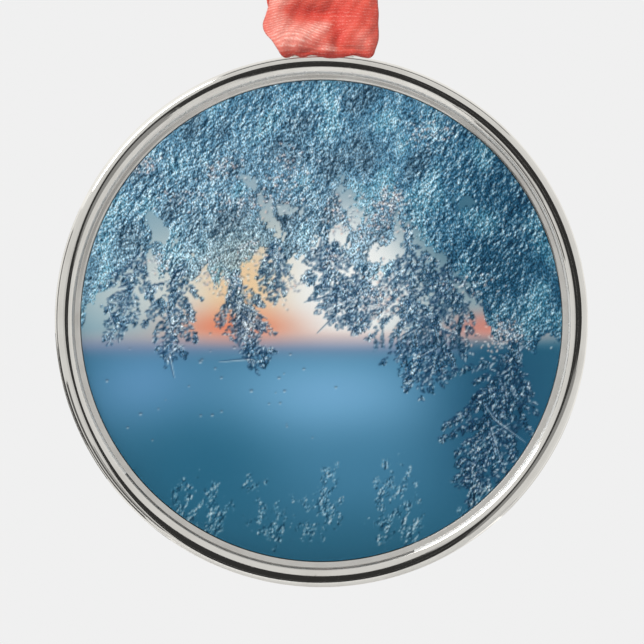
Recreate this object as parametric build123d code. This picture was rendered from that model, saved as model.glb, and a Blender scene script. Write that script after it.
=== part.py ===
from build123d import *
import os

# Hanging picture ornament: a round silver-plated frame with a clear lens over a printed disc,
# hung by a loop on its rim from a folded satin ribbon that is tied in a knot at the top.
# Millimetres. +Z is up, the picture faces -Y, and the origin is the hang point, where a hook
# sits inside the top of the ribbon loop.

# Frame, in radii and in heights to the front from the middle of its thickness
RIM_R = 29.6
OPENING_R = 26.8
POCKET_R = 27.7  # pocket at the back that holds the print, pad and back plate
CREST_R = 28.57  # the bead's crest
CREST_H = 2.5
BEAD_IN_R = 1.32  # the bead is rounder on its outer side, which ends at the rim
LIP_R = 27.4  # a conical lip runs from the foot of the bead to the opening
LIP_H = 1.72
LIP_EDGE_H = 1.44
LIP_BACK_H = 0.3  # the print bears on the back of the lip
BACK_H = -2.3
BACK_ROUND = 0.7

# Clear lens, set in the opening: a low dome whose edge climbs in a hollow curve to the lip's edge
LENS_GAP = 0.02
LENS_EDGE_R = OPENING_R - LENS_GAP
LENS_FLAT_R = LENS_EDGE_R - 0.65
LENS_FLAT_H = LIP_EDGE_H - 0.375
LENS_CROWN = 0.2  # rise of the dome to its middle

# Stack in the pocket, behind the lens
STACK_R = 27.55
PRINT_T = 0.3
PAD_T = 1.4
PLATE_PROUD = 0.1  # the back plate is the rearmost face
PLATE_CHAMFER = 0.25

# Hanger loop: a staple of round wire, soldered on top of the rim
WIRE_R = 0.65
SLOT_W = 5.3
SLOT_H = 2.4
STAPLE_CORNER_R = 1.1
STAPLE_SINK = 1.0  # length of each leg that the rim cuts off

# Ribbon, half an inch wide
RIBBON_W = 12.7
RIBBON_T = 0.4
LOOP_LENGTH = 78.0  # hang point to the top of the rim
GATHERED_W = 4.2  # gathered to pass through the staple
GATHERED_T = 0.8
BIGHT_GAP = 0.1
FOOT_RISE = 1.0  # the strands open out this far above the staple's bar
STRAND_SPREAD = 2.4  # half the distance between the strands where they are widest apart
TWIST_Z = -35.0  # height of the split where the loop twists
SPLIT = 0.3  # gap between ribbon solids on different bodies
TAPER_H = 15.0  # the strands narrow towards the knot over this height
NECK_W = 6.4
KNOT_R = 3.3
KNOT_H = 5.4
KNOT_SINK = 0.4  # the loop's top lies just under the knot
TAIL_L = 20.0
TAIL_LEAN = 15.0  # degrees, one tail forward and one back
TAIL_SPLAY = 14.0  # degrees, the same two to the left and to the right
TAIL_SLANT = 3.5  # each end is cut on a slant

RIM_TOP = -LOOP_LENGTH
CENTRE_Z = RIM_TOP - RIM_R
BAR_Z = RIM_TOP + SLOT_H + WIRE_R
FOOT_Z = BAR_Z + FOOT_RISE
BIGHT_IN_R = WIRE_R + BIGHT_GAP
BIGHT_OUT_R = BIGHT_IN_R + GATHERED_T
FOOT_Y = (BIGHT_IN_R + BIGHT_OUT_R) / 2
BEAD_OUT_R = RIM_R - CREST_R
PRINT_BACK_H = LIP_BACK_H - PRINT_T
PAD_BACK_H = PRINT_BACK_H - PAD_T
PLATE_BACK_H = BACK_H - PLATE_PROUD


def set_in_medallion(solid):
    """Puts a solid made about +Z, with its front up, on the medallion's axis with its front to -Y."""
    return Pos(0, 0, CENTRE_Z) * Rot(X=90) * solid


def turned(edges):
    """Turns a closed run of edges in the XZ plane, as radius and height, about the axis."""
    return set_in_medallion(revolve(make_face(edges), Axis.Z))


def bezel_frame():
    """Cast rim: a round bead, a conical lip and a pocket that is open at the back."""
    foot_rise = (BEAD_IN_R**2 - (CREST_R - LIP_R) ** 2) ** 0.5
    foot = (LIP_R, 0, CREST_H - BEAD_IN_R + foot_rise)
    inside = Polyline(
        foot,
        (LIP_R, 0, LIP_H),
        (OPENING_R, 0, LIP_EDGE_H),
        (OPENING_R, 0, LIP_BACK_H),
        (POCKET_R, 0, LIP_BACK_H),
        (POCKET_R, 0, BACK_H),
        (RIM_R - BACK_ROUND, 0, BACK_H),
    )
    back_edge = TangentArc(inside @ 1, (RIM_R, 0, BACK_H + BACK_ROUND), tangent=(1, 0, 0))
    outside = Line(back_edge @ 1, (RIM_R, 0, CREST_H - BEAD_OUT_R))
    outer_bead = TangentArc(outside @ 1, (CREST_R, 0, CREST_H), tangent=(0, 0, 1))
    inner_bead = TangentArc(outer_bead @ 1, foot, tangent=(-1, 0, 0))
    return turned([inside, back_edge, outside, outer_bead, inner_bead])


def clear_lens():
    """Low dome on the print, whose edge climbs in a hollow curve to the edge of the lip."""
    crown = (0, 0, LENS_FLAT_H + LENS_CROWN)
    dome = TangentArc(crown, (LENS_FLAT_R, 0, LENS_FLAT_H), tangent=(1, 0, 0))
    upturn = TangentArc(dome @ 1, (LENS_EDGE_R, 0, LIP_EDGE_H), tangent=(1, 0, 0))
    rest = Polyline(upturn @ 1, (LENS_EDGE_R, 0, LIP_BACK_H), (0, 0, LIP_BACK_H), crown)
    return turned([dome, upturn, rest])


def disc(back_h, front_h, radius=STACK_R):
    """A flat disc of the stack in the pocket."""
    return Pos(0, 0, (back_h + front_h) / 2) * Cylinder(radius, front_h - back_h)


def back_plate():
    """Pressed metal plate that closes the pocket, with a chamfered edge."""
    plate = disc(PLATE_BACK_H, PAD_BACK_H)
    rear_edge = plate.edges().group_by(Axis.Z)[0]
    return set_in_medallion(chamfer(rear_edge, PLATE_CHAMFER))


def hanger_loop():
    """A staple of round wire whose legs end on the rim. Its top bar is the axis that the rim swings on."""
    half = SLOT_W / 2 + WIRE_R
    foot_z = RIM_TOP - STAPLE_SINK
    path = FilletPolyline(
        (-half, 0, foot_z), (-half, 0, BAR_Z), (half, 0, BAR_Z), (half, 0, foot_z), radius=STAPLE_CORNER_R
    )
    section = Plane(origin=path @ 0, z_dir=path % 0) * Circle(WIRE_R)
    rim = set_in_medallion(Cylinder(RIM_R, 4 * CREST_H))
    return sweep(section, path) - rim


def ribbon_bight():
    """The gathered turn of the ribbon, which carries the staple's bar."""
    legs_top = FOOT_Z - BAR_Z
    turn = Circle(BIGHT_OUT_R) - Circle(BIGHT_IN_R)
    turn -= Pos(0, BIGHT_OUT_R) * Rectangle(4 * BIGHT_OUT_R, 2 * BIGHT_OUT_R)
    leg = Rectangle(GATHERED_T, legs_top)
    legs = [Pos(side * FOOT_Y, legs_top / 2) * leg for side in (-1, 1)]
    profile = Plane.YZ * (turn + legs)
    return Pos(0, 0, BAR_Z) * extrude(profile, GATHERED_W / 2, both=True)


def strand_y(z):
    """How far a strand is from the middle plane: widest at the split, and closed under the knot."""
    if z < TWIST_Z:
        return FOOT_Y + (STRAND_SPREAD - FOOT_Y) * (z - FOOT_Z) / (TWIST_Z - FOOT_Z)
    return RIBBON_T / 2 + (STRAND_SPREAD - RIBBON_T / 2) * z / TWIST_Z


def strand(side, low_z, high_z):
    """One flat run of ribbon between two heights, on the front (-1) or back (+1) side."""
    low_y = side * strand_y(low_z)
    high_y = side * strand_y(high_z)
    half = RIBBON_T / 2
    profile = Polyline(
        (low_y - half, low_z), (low_y + half, low_z), (high_y + half, high_z), (high_y - half, high_z),
        close=True,
    )
    return extrude(Plane.YZ * make_face(profile), RIBBON_W / 2, both=True)


def narrowed(run):
    """A run of ribbon whose width is taken in towards the knot."""
    front = Polyline(
        (-RIBBON_W / 2, TWIST_Z), (RIBBON_W / 2, TWIST_Z), (RIBBON_W / 2, -TAPER_H),
        (NECK_W / 2, 0), (-NECK_W / 2, 0), (-RIBBON_W / 2, -TAPER_H), close=True,
    )
    return run & extrude(Plane.XZ * make_face(front), 2 * STRAND_SPREAD, both=True)


def ribbon_knot():
    """A round overhand knot, with a flat under side where the two strands enter it."""
    knot = Pos(0, 0, KNOT_H / 2 - KNOT_SINK) * scale(Sphere(KNOT_R), (1, 1, KNOT_H / 2 / KNOT_R))
    return knot & Pos(0, 0, KNOT_H / 2) * Box(4 * KNOT_R, 4 * KNOT_R, KNOT_H)


def ribbon_tail(side):
    """A free end of the ribbon above the knot: to the front and left (-1) or back and right (+1)."""
    outline = Polyline(
        (-NECK_W / 2, 0), (NECK_W / 2, 0), (RIBBON_W / 2, TAIL_L / 2), (RIBBON_W / 2, TAIL_L),
        (-RIBBON_W / 2, TAIL_L - TAIL_SLANT), (-RIBBON_W / 2, TAIL_L / 2), close=True,
    )
    blade = extrude(Plane.XZ * make_face(outline), RIBBON_T / 2, both=True)
    foot = Pos(0, side * NECK_W / 8, KNOT_H - 2 * KNOT_SINK)
    return foot * Rot(X=-side * TAIL_LEAN) * Rot(Y=side * TAIL_SPLAY) * blade - ribbon_knot()


def parts():
    """Every node with its solid."""
    made = {
        "bezel_frame": bezel_frame(),
        "hanger_loop": hanger_loop(),
        "clear_lens": clear_lens(),
        "print_disc": set_in_medallion(disc(PRINT_BACK_H, LIP_BACK_H)),
        "backing_pad": set_in_medallion(disc(PAD_BACK_H, PRINT_BACK_H)),
        "back_plate": back_plate(),
        "ribbon_bight": ribbon_bight(),
        "ribbon_knot": ribbon_knot(),
    }
    for name, side in (("front", -1), ("back", 1)):
        made[f"ribbon_{name}_lower"] = strand(side, FOOT_Z, TWIST_Z - SPLIT / 2)
        made[f"ribbon_{name}_upper"] = narrowed(strand(side, TWIST_Z + SPLIT / 2, 0))
        made[f"ribbon_tail_{name}"] = ribbon_tail(side)
    return made


os.makedirs("parts", exist_ok=True)
for node, solid in parts().items():
    export_step(solid, f"parts/{node}.step")
    print(node, round(solid.volume, 2))
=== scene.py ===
import math

import bmesh
import bpy
import numpy as np
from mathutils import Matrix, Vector

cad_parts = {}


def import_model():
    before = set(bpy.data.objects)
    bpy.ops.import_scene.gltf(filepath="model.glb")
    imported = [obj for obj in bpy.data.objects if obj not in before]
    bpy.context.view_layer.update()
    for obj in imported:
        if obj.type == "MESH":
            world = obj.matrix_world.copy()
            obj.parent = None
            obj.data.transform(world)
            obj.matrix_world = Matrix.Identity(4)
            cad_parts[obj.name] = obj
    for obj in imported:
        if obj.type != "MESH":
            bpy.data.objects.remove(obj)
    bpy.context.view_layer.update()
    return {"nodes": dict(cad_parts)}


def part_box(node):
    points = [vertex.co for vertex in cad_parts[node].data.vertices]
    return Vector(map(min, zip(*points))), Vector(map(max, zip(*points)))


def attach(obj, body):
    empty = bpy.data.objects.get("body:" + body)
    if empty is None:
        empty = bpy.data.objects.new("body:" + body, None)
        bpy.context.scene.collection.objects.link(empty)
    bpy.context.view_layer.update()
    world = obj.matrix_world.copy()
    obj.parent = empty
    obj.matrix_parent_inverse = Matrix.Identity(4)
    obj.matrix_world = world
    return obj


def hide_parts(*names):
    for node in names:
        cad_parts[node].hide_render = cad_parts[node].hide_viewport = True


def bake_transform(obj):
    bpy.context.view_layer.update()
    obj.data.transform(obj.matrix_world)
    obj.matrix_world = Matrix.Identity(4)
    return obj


# The looks of the hanging picture ornament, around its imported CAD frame. Lengths are named in
# millimetres where they end in _MM and are metres otherwise. The picture faces -Y, up is +Z.

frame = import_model()

MM = 0.001

# ---- sizes read from the frame

RIM_LOW, RIM_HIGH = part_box("bezel_frame")
RIM_R_MM = (RIM_HIGH.x - RIM_LOW.x) / 2 / MM
CENTRE_Z_MM = (RIM_HIGH.z + RIM_LOW.z) / 2 / MM
RIM_TOP_MM = CENTRE_Z_MM + RIM_R_MM
CREST_H_MM = -RIM_LOW.y / MM
BACK_H_MM = -RIM_HIGH.y / MM
PLATE_LOW, PLATE_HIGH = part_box("back_plate")
STACK_R_MM = (PLATE_HIGH.x - PLATE_LOW.x) / 2 / MM
PLATE_FRONT_H_MM = -PLATE_LOW.y / MM
PLATE_BACK_H_MM = -PLATE_HIGH.y / MM
PRINT_LOW, PRINT_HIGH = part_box("print_disc")
PRINT_FRONT_H_MM = -PRINT_LOW.y / MM
PRINT_BACK_H_MM = -PRINT_HIGH.y / MM
LENS_LOW, LENS_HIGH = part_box("clear_lens")
LENS_EDGE_R_MM = (LENS_HIGH.x - LENS_LOW.x) / 2 / MM
LOOP_LOW, LOOP_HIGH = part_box("hanger_loop")
KNOT_LOW, KNOT_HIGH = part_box("ribbon_knot")
UPPER_LOW, UPPER_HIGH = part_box("ribbon_front_upper")
LOWER_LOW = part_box("ribbon_front_lower")[0]
RIBBON_W_MM = (UPPER_HIGH.x - UPPER_LOW.x) / MM

# ---- sizes of the looks

OPENING_R_MM = 26.8
CREST_R_MM = 28.57
BEAD_IN_R_MM = 1.32
BEAD_OUT_R_MM = RIM_R_MM - CREST_R_MM
LIP_R_MM = 27.4
LIP_H_MM = 1.72
LIP_EDGE_H_MM = 1.44
POCKET_R_MM = 27.7
BACK_ROUND_MM = 0.7
LENS_UPTURN_RUN_MM = 0.65
LENS_UPTURN_RISE_MM = 0.375
LENS_CROWN_MM = 0.2
WIRE_R_MM = 0.65
TURNS = 720


# ---- helpers for meshes


def link(name, mesh, material):
    """A smooth object of that mesh, in the scene, with its material."""
    obj = bpy.data.objects.new(name, mesh)
    bpy.context.scene.collection.objects.link(obj)
    mesh.materials.append(material)
    mesh.shade_smooth()
    return obj


def keep_corners(obj, degrees=35):
    """Smooth shading, but with its real corners kept sharp."""
    obj.data.set_sharp_from_angle(angle=math.radians(degrees))
    return obj


def mesh_from_grid(name, points, wrap_rows=False, wrap_columns=False):
    """A quad mesh of a rows x columns x 3 array in millimetres, joined up where it wraps."""
    rows, columns = points.shape[:2]
    index = np.arange(rows * columns).reshape(rows, columns)
    if wrap_rows:
        index = np.vstack([index, index[:1]])
    if wrap_columns:
        index = np.hstack([index, index[:, :1]])
    quads = np.stack([index[:-1, :-1], index[1:, :-1], index[1:, 1:], index[:-1, 1:]], -1).reshape(-1, 4)
    mesh = bpy.data.meshes.new(name)
    mesh.from_pydata((points.reshape(-1, 3) * MM).tolist(), [], quads.tolist())
    return mesh


def add_uv(mesh, u_mm, v_mm):
    """A UV layer in millimetres, from two values per vertex."""
    corner = np.empty(len(mesh.loops), int)
    mesh.loops.foreach_get("vertex_index", corner)
    uv = np.stack([u_mm[corner], v_mm[corner]], -1).astype(np.float32)
    mesh.uv_layers.new(name="cloth_mm").data.foreach_set("uv", uv.ravel())


def arc(centre, radius, start_deg, end_deg, count):
    """Points of an arc in the radius and height plane, angles counted from outward to the front."""
    angles = np.radians(np.linspace(start_deg, end_deg, count))
    return [(centre[0] + radius * math.cos(a), centre[1] + radius * math.sin(a)) for a in angles]


def straight(start, end, count):
    """Points on a straight run, without its end."""
    return [tuple(np.array(start) + (np.array(end) - np.array(start)) * i / count) for i in range(count)]


def lathe(name, profile, material, waver=None):
    """Turns a profile of (radius, height to the front) about the medallion's axis.

    A profile that starts and ends on the axis is left open there; any other is closed."""
    profile = np.array(profile, float)
    angle = np.linspace(0, 2 * np.pi, TURNS, endpoint=False)[:, None]
    radius = np.broadcast_to(profile[:, 0], (TURNS, len(profile)))
    height = np.broadcast_to(profile[:, 1], (TURNS, len(profile)))
    if waver is not None:
        radius = radius + waver(angle, radius, height)
    points = np.stack(
        [radius * np.cos(angle), -height, CENTRE_Z_MM + radius * np.sin(angle)], -1
    )
    on_axis = profile[0, 0] < 1e-6
    mesh = mesh_from_grid(name, points, wrap_rows=True, wrap_columns=not on_axis)
    if on_axis:
        weld(mesh)
    return keep_corners(link(name, mesh, material))


def weld(mesh, distance=1e-7):
    """Joins the mesh's points that lie on each other."""
    work = bmesh.new()
    work.from_mesh(mesh)
    bmesh.ops.remove_doubles(work, verts=work.verts, dist=distance)
    bmesh.ops.dissolve_degenerate(work, edges=work.edges, dist=distance)
    work.to_mesh(mesh)
    work.free()


def smooth(value, low, high):
    """0 below low, 1 above high, and an even curve between."""
    t = np.clip((value - low) / (high - low), 0, 1)
    return t * t * (3 - 2 * t)


def bell(value, width):
    """1 where the value is 0, falling evenly to 0 past that width."""
    return np.exp(-((value / width) ** 2))


def turned(dx, dz, angle):
    """A shift's parts along a direction and to the left of it."""
    return dx * np.cos(angle) + dz * np.sin(angle), dz * np.cos(angle) - dx * np.sin(angle)


def hump(x, z, x0, z0, half_w, half_h, tilt_deg=0.0):
    """1 in the middle of a slanted oval, falling evenly to 0 outside it."""
    u, v = turned(x - x0, z - z0, math.radians(tilt_deg))
    return np.exp(-((u / half_w) ** 2 + (v / half_h) ** 2))


# ---- helpers for materials


class Nodes:
    """Builds one material's node tree, with a Principled shader at its end."""

    def __init__(self, name, **sockets):
        self.material = bpy.data.materials.new(name)
        self.material.use_nodes = True
        self.tree = self.material.node_tree
        self.shader = self.tree.nodes["Principled BSDF"]
        for socket, value in sockets.items():
            self.shader.inputs[socket.replace("_", " ")].default_value = value

    def put(self, socket, value):
        """Gives a socket a value or another node's output. None leaves it as it is."""
        if isinstance(value, bpy.types.NodeSocket):
            self.tree.links.new(value, socket)
        elif value is not None:
            socket.default_value = value

    def add(self, kind, **settings):
        """A node of that kind. Settings are properties, or inputs when they name one."""
        node = self.tree.nodes.new("ShaderNode" + kind)
        for key, value in settings.items():
            if hasattr(node, key):
                setattr(node, key, value)
            else:
                self.put(node.inputs[key.replace("_", " ")], value)
        return node

    def math(self, operation, *values):
        node = self.add("Math", operation=operation)
        for socket, value in zip(node.inputs, values):
            self.put(socket, value)
        return node.outputs[0]

    def ramp(self, value, low, high, to_low=0.0, to_high=1.0):
        """A value carried smoothly from one range to another."""
        node = self.add("MapRange", interpolation_type="SMOOTHSTEP", Value=value, From_Min=low,
                        From_Max=high, To_Min=to_low, To_Max=to_high)
        return node.outputs[0]

    def mix(self, factor, first, second, blend="MIX"):
        """A colour mix of two colours or outputs."""
        node = self.add("Mix", data_type="RGBA", blend_type=blend)
        for place, value in ((0, factor), (6, first), (7, second)):
            self.put(node.inputs[place], (*value, 1) if isinstance(value, tuple) else value)
        return node.outputs[2]

    def noise(self, scale, vector=None, detail=2.0, roughness=0.5):
        node = self.add("TexNoise", Scale=scale, Vector=vector, Detail=detail, Roughness=roughness)
        return node.outputs[0]

    def stretched(self, vector, scale, turn=(0, 0, 0)):
        """A vector, scaled and turned."""
        rotation = [math.radians(a) for a in turn]
        return self.add("Mapping", Vector=vector, Scale=scale, Rotation=rotation).outputs[0]

    def position(self, scale=(1, 1, 1), turn=(0, 0, 0)):
        """Object coordinates, scaled and turned."""
        return self.stretched(self.add("TexCoord").outputs["Object"], scale, turn)

    def bump(self, height, distance, strength, after=None):
        """Bump by a height, laid over an earlier bump."""
        return self.add("Bump", Strength=strength, Distance=distance, Height=height, Normal=after).outputs[0]

    def done(self, colour=None, roughness=None, normal=None):
        for socket, value in (("Base Color", colour), ("Roughness", roughness), ("Normal", normal)):
            self.put(self.shader.inputs[socket], value)
        return self.material

    def end(self, output):
        """Ends the material in another shader than the Principled one."""
        self.tree.nodes.remove(self.shader)
        self.put(self.tree.nodes["Material Output"].inputs["Surface"], output)
        return self.material


def srgb(*levels):
    """A colour from 0 to 1, of 8-bit levels."""
    return np.array(levels, float) / 255


def linear(value):
    """Light of sRGB values from 0 to 1."""
    return np.where(value <= 0.04045, value / 12.92, ((value + 0.055) / 1.055) ** 2.4)


def from_srgb(*levels):
    """Linear colour of 8-bit levels."""
    return tuple(linear(srgb(*levels)).tolist())


# ---- materials


def polished_silver():
    """Bright plating, with hairline scratches and a faint cloudiness."""
    n = Nodes("polished_silver", Metallic=1.0)
    cloud = n.noise(260, n.position(), detail=3)
    colour = n.mix(n.ramp(cloud, 0.35, 0.75), (0.94, 0.92, 0.865), (0.87, 0.845, 0.79))
    scratches = n.noise(900, n.position((1, 1, 0.08), (20, 35, 0)), detail=4, roughness=0.7)
    crossing = n.noise(1100, n.position((0.08, 1, 1), (0, 20, 30)), detail=4, roughness=0.7)
    marks = n.math("MAXIMUM", n.ramp(scratches, 0.62, 0.72), n.ramp(crossing, 0.64, 0.74))
    rough = n.math("MULTIPLY_ADD", marks, 0.10, n.ramp(cloud, 0.3, 0.8, 0.05, 0.11))
    swell = n.noise(120, n.position(), detail=1)
    normal = n.bump(marks, 0.000004, 0.35, n.bump(swell, 0.00004, 0.25))
    return n.done(colour, rough, normal)


def dull_silver():
    """The lip's plating, left duller than the bead."""
    n = Nodes("dull_silver", Metallic=1.0)
    cloud = n.noise(420, n.position(), detail=3)
    colour = n.mix(n.ramp(cloud, 0.3, 0.75), (0.74, 0.725, 0.685), (0.66, 0.64, 0.60))
    return n.done(colour, n.ramp(cloud, 0.3, 0.8, 0.16, 0.24), n.bump(cloud, 0.00002, 0.2))


def groove_metal(name, metallic, colours, roughness):
    """A cloudy finish for the groove beside the lip."""
    n = Nodes(name, Metallic=metallic)
    cloud = n.noise(500, n.position(), detail=3)
    return n.done(n.mix(n.ramp(cloud, 0.3, 0.7), *colours), n.ramp(cloud, 0.3, 0.8, *roughness))


def dark_groove_silver():
    """The stretch of the groove that looks dark, given a darker silver; what darkens it on the real rim
    isn't known.
    """
    return groove_metal("dark_groove_silver", 1.0, ((0.30, 0.29, 0.27), (0.44, 0.42, 0.39)), (0.3, 0.4))


def groove_silver():
    """The rest of the groove, which looks pale: a finish chosen for that look."""
    return groove_metal("groove_silver", 0.45, ((0.93, 0.92, 0.88), (0.88, 0.865, 0.82)), (0.22, 0.32))


def brushed_silver():
    """Back plate: fine turned lines round its middle, with handling marks."""
    n = Nodes("brushed_silver", Metallic=1.0)
    x, _, z = n.add("SeparateXYZ", Vector=n.add("TexCoord").outputs["Object"]).outputs
    up = n.math("SUBTRACT", z, CENTRE_Z_MM * MM)
    squares = n.math("ADD", n.math("MULTIPLY", x, x), n.math("MULTIPLY", up, up))
    rings = n.add("CombineXYZ", X=n.math("SQRT", squares))
    lines = n.noise(9000, rings.outputs[0], detail=3, roughness=0.8)
    smears = n.noise(70, n.position(), detail=4)
    colour = n.mix(n.ramp(smears, 0.4, 0.8), (0.79, 0.78, 0.75), (0.74, 0.725, 0.695))
    rough = n.math("MULTIPLY_ADD", lines, 0.16, n.ramp(smears, 0.3, 0.8, 0.24, 0.30))
    return n.done(colour, rough, n.bump(lines, 0.00001, 0.6))


def clear_acrylic():
    """Clear lens: see-through, with a mirror sheen on its outer side that grows at a slant."""
    n = Nodes("clear_acrylic")
    clear = n.add("BsdfTransparent", Color=(0.985, 0.992, 0.995, 1))
    haze = n.bump(n.noise(180), 0.00001, 0.15)
    sheen = n.add("BsdfGlossy", Color=(0.86, 0.93, 1.0, 1), Roughness=0.03, Normal=haze)
    outside = n.math("SUBTRACT", 1.0, n.add("NewGeometry").outputs["Backfacing"])
    share = n.math("MULTIPLY", n.add("Fresnel", IOR=1.49).outputs[0], outside)
    mix = n.add("MixShader")
    for socket, value in zip(mix.inputs, (share, clear.outputs[0], sheen.outputs[0])):
        n.put(socket, value)
    return n.end(mix.outputs[0])


def grey_board():
    """Backing pad: pressed grey board with fibres."""
    n = Nodes("grey_board", Roughness=0.9)
    fibres = n.noise(2600, n.position((1, 1, 0.2), (0, 25, 0)), detail=5, roughness=0.7)
    colour = n.mix(fibres, (0.33, 0.31, 0.28), (0.52, 0.49, 0.44))
    return n.done(colour, None, n.bump(fibres, 0.00004, 0.5))


def printed_paper():
    """The picture, in the colours of its vertices, with the finest crystals of the frost."""
    n = Nodes("printed_picture", Roughness=0.5, Specular_IOR_Level=0.12)
    ink = n.add("Attribute", attribute_name="ink")
    frost = n.add("Attribute", attribute_name="frost")
    grain = n.noise(6500, n.position((1, 1, 0.6), (0, 24, 0)), detail=1.0)
    tone = n.ramp(grain, 0.36, 0.64, -0.5, 0.55)
    level = n.math("MULTIPLY_ADD", tone, frost.outputs["Fac"], 1.0)
    grey = n.add("CombineColor")
    for socket in grey.inputs:
        n.put(socket, level)
    return n.done(n.mix(1.0, ink.outputs["Color"], grey.outputs[0], "MULTIPLY"))


# ---- camera, floor and studio

LENS_FOCAL_MM = 150
SENSOR_MM = 36
VIEW_W_MM = 71.5  # width of the view at the rim
AIM_X_MM = 0.067
AIM_DOWN_MM = 0.133
STUDIO_R = 0.6
WHITE_WALL = 0.871
CENTRE = (0, 0, CENTRE_Z_MM * MM)


def camera():
    data = bpy.data.cameras.new("camera")
    data.lens = LENS_FOCAL_MM
    data.sensor_width = SENSOR_MM
    distance_mm = VIEW_W_MM * LENS_FOCAL_MM / SENSOR_MM
    obj = bpy.data.objects.new("camera", data)
    rim_front_mm = CREST_H_MM - BEAD_OUT_R_MM
    obj.location = (
        AIM_X_MM * MM,
        -(distance_mm + rim_front_mm) * MM,
        (CENTRE_Z_MM - AIM_DOWN_MM) * MM,
    )
    obj.rotation_euler = (math.radians(90), 0, 0)
    bpy.context.scene.collection.objects.link(obj)
    bpy.context.scene.camera = obj


def world(lighting):
    """White to the camera, dimmer as a light."""
    made = bpy.data.worlds.new("studio")
    made.use_nodes = True
    tree = made.node_tree
    background = tree.nodes["Background"]
    path = tree.nodes.new("ShaderNodeLightPath")
    mix = tree.nodes.new("ShaderNodeMix")
    mix.inputs[2].default_value = lighting
    mix.inputs[3].default_value = WHITE_WALL
    tree.links.new(path.outputs["Is Camera Ray"], mix.inputs[0])
    tree.links.new(mix.outputs[0], background.inputs["Strength"])
    background.inputs["Color"].default_value = (1, 1, 1, 1)
    bpy.context.scene.world = made
    bpy.context.scene.view_settings.view_transform = "Standard"


def floor():
    """A pale round floor, far under the ornament."""
    radius, height = 2.5, -0.5
    n = Nodes("floor", Roughness=0.9)
    mottle = n.noise(6, n.position(), detail=2)
    material = n.done(n.mix(mottle, (0.93, 0.93, 0.93), (0.96, 0.96, 0.96)))
    angle = np.linspace(0, 2 * np.pi, 96, endpoint=False)
    rim = [(radius * math.cos(a), radius * math.sin(a), height) for a in angle]
    mesh = bpy.data.meshes.new("floor")
    mesh.from_pydata(rim, [], [list(range(len(rim)))])
    link("floor", mesh, material)


def glow(name, radiance):
    """A material that only gives light."""
    n = Nodes(name)
    return n.end(n.add("Emission", Strength=radiance).outputs[0])


def ring_card(name, radiance, polar, around, radius):
    """Part of a ball round the medallion, seen only in reflections.

    polar counts from straight ahead of the picture, around counts from the right towards the top."""
    steps = 24
    p = np.radians(np.linspace(*polar, steps))[:, None]
    a = np.radians(np.linspace(*around, 4 * steps))[None, :]
    points = np.stack([np.sin(p) * np.cos(a), -np.cos(p) + 0 * a, np.sin(p) * np.sin(a)], -1) * radius / MM
    points[..., 2] += CENTRE_Z_MM
    obj = link(name, mesh_from_grid(name, points), glow(name, radiance))
    obj.visible_camera = False
    obj.visible_diffuse = False
    obj.visible_shadow = False
    obj.visible_transmission = False
    obj.visible_volume_scatter = False


def soft_light(name, watts, size, distance, around_deg, polar_deg):
    """A square lamp aimed at the medallion, not seen in reflections."""
    data = bpy.data.lights.new(name, "AREA")
    data.energy = watts
    data.size = size
    obj = bpy.data.objects.new(name, data)
    a, p = math.radians(around_deg), math.radians(polar_deg)
    direction = np.array([math.sin(p) * math.cos(a), -math.cos(p), math.sin(p) * math.sin(a)])
    obj.location = np.array(CENTRE) + distance * direction
    turn = np.array(obj.location) - np.array(CENTRE)
    obj.rotation_euler = Vector(turn).to_track_quat("Z", "Y").to_euler()
    obj.visible_glossy = False
    bpy.context.scene.collection.objects.link(obj)


# Cards round the medallion, placed for the reflections that are wanted and each in front of the
# ones before it: name, radiance, degrees from straight ahead, and degrees round from the right
# towards the top
ALL_ROUND = (0, 360)
CARDS = (
    ("tent_near", 0.66, (26, 72), ALL_ROUND),
    ("tent_side", 0.70, (70, 112), ALL_ROUND),
    ("tent_back", 0.87, (110, 179.5), ALL_ROUND),
    ("room", 0.03, (0.5, 29), ALL_ROUND),
    ("room_below", 0.03, (25, 37), (236, 288)),
    ("window_above", 0.55, (21, 34), (118, 214)),
    ("window_below", 0.26, (12, 40), (306, 348)),
    ("flag_left", 0.05, (84, 118), (186, 208)),
    ("flag_up_left", 0.2, (88, 108), (160, 188)),
    ("flag_down_left", 0.1, (84, 110), (206, 232)),
    ("flag_inner", 0.1, (56, 74), (194, 232)),
    ("flag_low", 0.3, (44, 53), (208, 238)),
    ("flag_top", 0.12, (84, 96), (45, 112)),
    ("strip", 1.3, (102, 116), (234, 313)),
    ("flag_back", 0.05, (138, 152), (155, 235)),
    ("softbox", 7, (74, 83), (115, 150)),
    ("softbox_low", 0.95, (87, 118), (113, 155)),
)


CARD_STEP = 0.012  # how much nearer each card is, as a share of the studio's radius
WORLD_LIGHT = 0.36


def studio():
    world(WORLD_LIGHT)
    floor()
    soft_light("key", watts=4.6, size=0.3, distance=0.7, around_deg=125, polar_deg=50)
    for place, (name, radiance, polar, around) in enumerate(CARDS):
        ring_card(name, radiance, polar, around, STUDIO_R * (1 - CARD_STEP * place))


# ---- metal and lens


# How the bead's crest is moved round the rim, chosen for its reflections: angle from the right
# towards the top, how far out or in, in millimetres, and how broad the top of the crest is
WAVER = (
    (0, 0.02, 1.3), (15, -0.02, 1.2), (30, -0.04, 1.2), (45, -0.05, 1.12), (60, -0.08, 0.9),
    (75, 0.0, 0.8), (90, 0.10, 0.68), (105, 0.12, 0.72), (120, 0.10, 0.75), (135, 0.10, 0.62),
    (150, 0.0, 0.7), (168, -0.3, 0.95), (180, -0.27, 1.05), (195, -0.38, 0.7), (212, -0.28, 0.85),
    (228, 0.10, 0.72), (240, 0.38, 0.8), (255, 0.38, 0.68), (270, 0.35, 0.65), (285, 0.26, 0.72),
    (300, 0.14, 1.2), (315, -0.28, 0.7), (330, -0.3, 0.75), (345, -0.24, 1.0), (360, 0.02, 1.3),
)


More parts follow.
